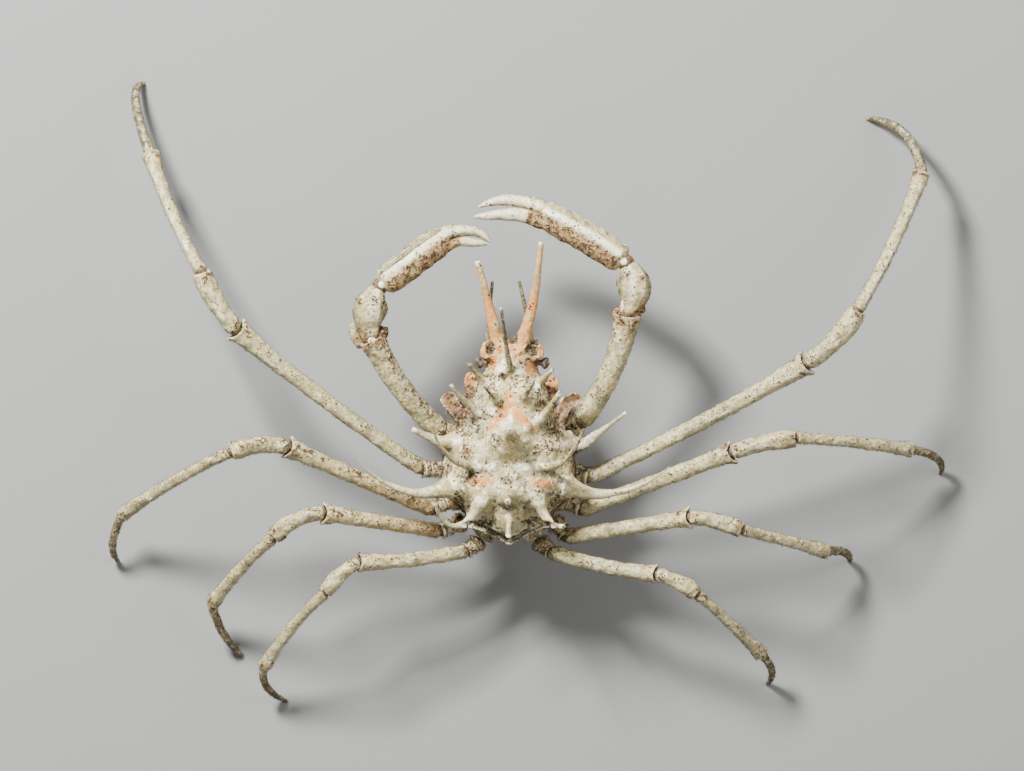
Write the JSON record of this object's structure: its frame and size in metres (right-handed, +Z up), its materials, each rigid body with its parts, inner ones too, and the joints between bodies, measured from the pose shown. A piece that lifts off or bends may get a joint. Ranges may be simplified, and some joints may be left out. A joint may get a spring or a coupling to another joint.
{
  "type": "spider crab model",
  "caption": "Still, life-size model of a long-spined spider crab, standing on the tips of its spread walking legs with its claws folded forward.",
  "frame": {"origin": "on the floor, under the middle of the box round the whole model", "axes": "+Y to the crab's front, +X to the crab's right, +Z up from the floor"},
  "size_m": [0.1678, 0.1248, 0.0424],
  "materials": {
    "shell": "matt shell, cream with brown pits and speckles",
    "limbs": "matt shell, beige with brown speckles and short bristles",
    "underside": "matt brown shell with a felt of bristles",
    "eyes": "glossy, nearly black"
  },
  "bodies": {
    "root": {"antenna_left": "limbs", "antenna_right": "limbs", "carapace": "shell", "cheliped_left_base": "limbs", "cheliped_left_carpus": "limbs", "cheliped_left_finger": "limbs", "cheliped_left_merus": "limbs", "cheliped_left_palm": "limbs", "cheliped_right_base": "limbs", "cheliped_right_carpus": "limbs", "cheliped_right_finger": "limbs", "cheliped_right_merus": "limbs", "cheliped_right_palm": "limbs", "eye_left": "eyes", "eye_right": "eyes", "leg_left_1_base": "limbs", "leg_left_1_carpus": "limbs", "leg_left_1_dactylus": "limbs", "leg_left_1_merus": "limbs", "leg_left_1_propodus": "limbs", "leg_left_2_base": "limbs", "leg_left_2_carpus": "limbs", "leg_left_2_dactylus": "limbs", "leg_left_2_merus": "limbs", "leg_left_2_propodus": "limbs", "leg_left_3_base": "limbs", "leg_left_3_carpus": "limbs", "leg_left_3_dactylus": "limbs", "leg_left_3_merus": "limbs", "leg_left_3_propodus": "limbs", "leg_left_4_base": "limbs", "leg_left_4_carpus": "limbs", "leg_left_4_dactylus": "limbs", "leg_left_4_merus": "limbs", "leg_left_4_propodus": "limbs", "leg_right_1_base": "limbs", "leg_right_1_carpus": "limbs", "leg_right_1_dactylus": "limbs", "leg_right_1_merus": "limbs", "leg_right_1_propodus": "limbs", "leg_right_2_base": "limbs", "leg_right_2_carpus": "limbs", "leg_right_2_dactylus": "limbs", "leg_right_2_merus": "limbs", "leg_right_2_propodus": "limbs", "leg_right_3_base": "limbs", "leg_right_3_carpus": "limbs", "leg_right_3_dactylus": "limbs", "leg_right_3_merus": "limbs", "leg_right_3_propodus": "limbs", "leg_right_4_base": "limbs", "leg_right_4_carpus": "limbs", "leg_right_4_dactylus": "limbs", "leg_right_4_merus": "limbs", "leg_right_4_propodus": "limbs", "maxilliped_left": "underside", "maxilliped_right": "underside", "pleon": "underside", "thorax": "underside"}
  },
  "joints": []
}
